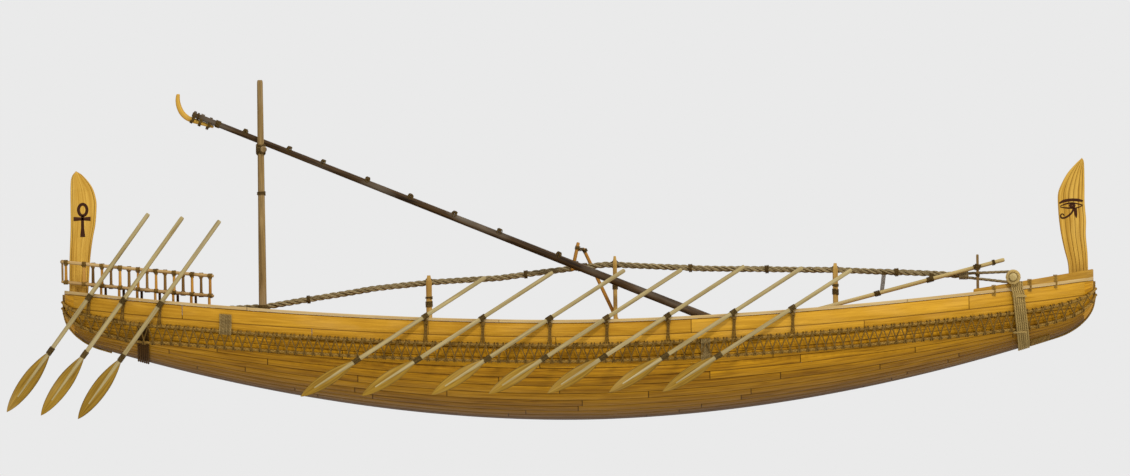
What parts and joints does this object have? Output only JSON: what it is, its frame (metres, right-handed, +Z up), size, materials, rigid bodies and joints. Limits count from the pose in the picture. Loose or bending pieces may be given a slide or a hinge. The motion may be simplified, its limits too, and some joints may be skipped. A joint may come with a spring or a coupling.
{
  "type": "rope-trussed wooden rowing and sailing ship",
  "caption": "Round-hulled wooden ship with a girdle of rope, a hogging truss over crutches, a lowered two-legged mast, rowing oars and steering oars.",
  "frame": {"origin": "on the centreline amidships, at the waterline", "axes": "+X to the bow, +Y to port, +Z up"},
  "size_m": [18.5663, 5.2406, 5.8483],
  "materials": {
    "hull_wood": "adzed planks, oiled, darker towards the bottom",
    "strake_wood": "adzed planks, oiled golden",
    "rail_wood": "smoothed pale wood",
    "deck_wood": "scrubbed planks",
    "carved_wood": "carved and oiled, long grain",
    "railing_wood": "round poles, worn",
    "crutch_wood": "barked poles, pale",
    "mast_wood": "dark oiled spars",
    "spar_wood": "round timber, worn",
    "oar_wood": "greyed pale wood",
    "rope": "laid grass rope",
    "belt_rope": "laid grass rope, tarred dark"
  },
  "bodies": {
    "hull": {"hull_planking": "hull_wood", "sheer_strake_port": "strake_wood", "sheer_strake_starboard": "strake_wood", "gunwale_port": "rail_wood", "gunwale_starboard": "rail_wood", "bow_block": "hull_wood", "stern_block": "hull_wood", "bow_caps": "rail_wood", "deck": "deck_wood", "bow_post": "carved_wood", "stern_post": "carved_wood", "stern_platform": "deck_wood", "stern_railing_port": "railing_wood", "stern_railing_starboard": "railing_wood", "stern_railing_aft": "railing_wood", "girdle_ropes": "rope", "hogging_truss": "rope", "truss_crutch_aft": "crutch_wood", "truss_crutch_mid": "crutch_wood", "truss_crutch_fore": "crutch_wood", "bow_crossbeam": "spar_wood", "stern_crossbeam": "spar_wood", "bow_belt": "belt_rope", "stern_belt": "belt_rope", "lever_pole": "spar_wood", "lever_stake": "crutch_wood", "truss_levers": "spar_wood", "mast_crutch": "crutch_wood", "mast_step": "spar_wood", "oar_ties": "rope", "steering_ties": "rope"},
    "mast": {"mast_legs": "mast_wood", "mast_rungs": "mast_wood", "mast_head": "crutch_wood"},
    "rowing_oar_port_1": {"rowing_oar_port_1": "oar_wood"},
    "rowing_oar_port_2": {"rowing_oar_port_2": "oar_wood"},
    "rowing_oar_port_3": {"rowing_oar_port_3": "oar_wood"},
    "rowing_oar_port_4": {"rowing_oar_port_4": "oar_wood"},
    "rowing_oar_port_5": {"rowing_oar_port_5": "oar_wood"},
    "rowing_oar_port_6": {"rowing_oar_port_6": "oar_wood"},
    "rowing_oar_port_7": {"rowing_oar_port_7": "oar_wood"},
    "rowing_oar_starboard_1": {"rowing_oar_starboard_1": "oar_wood"},
    "rowing_oar_starboard_2": {"rowing_oar_starboard_2": "oar_wood"},
    "rowing_oar_starboard_3": {"rowing_oar_starboard_3": "oar_wood"},
    "rowing_oar_starboard_4": {"rowing_oar_starboard_4": "oar_wood"},
    "rowing_oar_starboard_5": {"rowing_oar_starboard_5": "oar_wood"},
    "rowing_oar_starboard_6": {"rowing_oar_starboard_6": "oar_wood"},
    "rowing_oar_starboard_7": {"rowing_oar_starboard_7": "oar_wood"},
    "steering_oar_port_1": {"steering_oar_port_1": "oar_wood"},
    "steering_oar_port_2": {"steering_oar_port_2": "oar_wood"},
    "steering_oar_port_3": {"steering_oar_port_3": "oar_wood"},
    "steering_oar_starboard_1": {"steering_oar_starboard_1": "oar_wood"},
    "steering_oar_starboard_2": {"steering_oar_starboard_2": "oar_wood"},
    "steering_oar_starboard_3": {"steering_oar_starboard_3": "oar_wood"}
  },
  "joints": [
    {"name": "mast_hinge", "type": "hinge", "parent": "hull", "child": "mast", "pos_m": [2.8, 0, 0.51805], "axis": [0, 1, 0], "range_deg": [0, 67.7]},
    {"name": "row_port_1", "type": "hinge", "parent": "hull", "child": "rowing_oar_port_1", "pos_m": [-2.62062, 2.13923, 0.85896], "axis": [0, 0, -1], "range_deg": [0, 100]},
    {"name": "row_port_2", "type": "hinge", "parent": "hull", "child": "rowing_oar_port_2", "pos_m": [-1.65025, 2.1631, 0.81793], "axis": [0, 0, -1], "range_deg": [0, 100]},
    {"name": "row_port_3", "type": "hinge", "parent": "hull", "child": "rowing_oar_port_3", "pos_m": [-0.51013, 2.17077, 0.78922], "axis": [0, 0, -1], "range_deg": [0, 100]},
    {"name": "row_port_4", "type": "hinge", "parent": "hull", "child": "rowing_oar_port_4", "pos_m": [0.46025, 2.17083, 0.78852], "axis": [0, 0, -1], "range_deg": [0, 100]},
    {"name": "row_port_5", "type": "hinge", "parent": "hull", "child": "rowing_oar_port_5", "pos_m": [1.50063, 2.16506, 0.81288], "axis": [0, 0, -1], "range_deg": [0, 100]},
    {"name": "row_port_6", "type": "hinge", "parent": "hull", "child": "rowing_oar_port_6", "pos_m": [2.62062, 2.13923, 0.85896], "axis": [0, 0, -1], "range_deg": [0, 100]},
    {"name": "row_port_7", "type": "hinge", "parent": "hull", "child": "rowing_oar_port_7", "pos_m": [3.62075, 2.08645, 0.91523], "axis": [0, 0, -1], "range_deg": [0, 100]},
    {"name": "row_starboard_1", "type": "hinge", "parent": "hull", "child": "rowing_oar_starboard_1", "pos_m": [-2.62062, -2.13923, 0.85896], "axis": [0, 0, 1], "range_deg": [0, 100]},
    {"name": "row_starboard_2", "type": "hinge", "parent": "hull", "child": "rowing_oar_starboard_2", "pos_m": [-1.65025, -2.1631, 0.81793], "axis": [0, 0, 1], "range_deg": [0, 100]},
    {"name": "row_starboard_3", "type": "hinge", "parent": "hull", "child": "rowing_oar_starboard_3", "pos_m": [-0.51013, -2.17077, 0.78922], "axis": [0, 0, 1], "range_deg": [0, 100]},
    {"name": "row_starboard_4", "type": "hinge", "parent": "hull", "child": "rowing_oar_starboard_4", "pos_m": [0.46025, -2.17083, 0.78852], "axis": [0, 0, 1], "range_deg": [0, 100]},
    {"name": "row_starboard_5", "type": "hinge", "parent": "hull", "child": "rowing_oar_starboard_5", "pos_m": [1.50063, -2.16506, 0.81288], "axis": [0, 0, 1], "range_deg": [0, 100]},
    {"name": "row_starboard_6", "type": "hinge", "parent": "hull", "child": "rowing_oar_starboard_6", "pos_m": [2.62062, -2.13923, 0.85896], "axis": [0, 0, 1], "range_deg": [0, 100]},
    {"name": "row_starboard_7", "type": "hinge", "parent": "hull", "child": "rowing_oar_starboard_7", "pos_m": [3.62075, -2.08645, 0.91523], "axis": [0, 0, 1], "range_deg": [0, 100]},
    {"name": "steer_port_1", "type": "hinge", "parent": "hull", "child": "steering_oar_port_1", "pos_m": [-8.33525, 0.88154, 1.2553], "axis": [0.592, 0, 0.8059], "range_deg": [-60, 60]},
    {"name": "steer_port_2", "type": "hinge", "parent": "hull", "child": "steering_oar_port_2", "pos_m": [-7.756, 1.2166, 1.18895], "axis": [0.592, 0, 0.8059], "range_deg": [-60, 60]},
    {"name": "steer_port_3", "type": "hinge", "parent": "hull", "child": "steering_oar_port_3", "pos_m": [-7.12688, 1.47104, 1.12098], "axis": [0.592, 0, 0.8059], "range_deg": [-60, 60]},
    {"name": "steer_starboard_1", "type": "hinge", "parent": "hull", "child": "steering_oar_starboard_1", "pos_m": [-8.33525, -0.88154, 1.2553], "axis": [0.592, 0, 0.8059], "range_deg": [-60, 60]},
    {"name": "steer_starboard_2", "type": "hinge", "parent": "hull", "child": "steering_oar_starboard_2", "pos_m": [-7.756, -1.2166, 1.18895], "axis": [0.592, 0, 0.8059], "range_deg": [-60, 60]},
    {"name": "steer_starboard_3", "type": "hinge", "parent": "hull", "child": "steering_oar_starboard_3", "pos_m": [-7.12688, -1.47104, 1.12098], "axis": [0.592, 0, 0.8059], "range_deg": [-60, 60]}
  ]
}
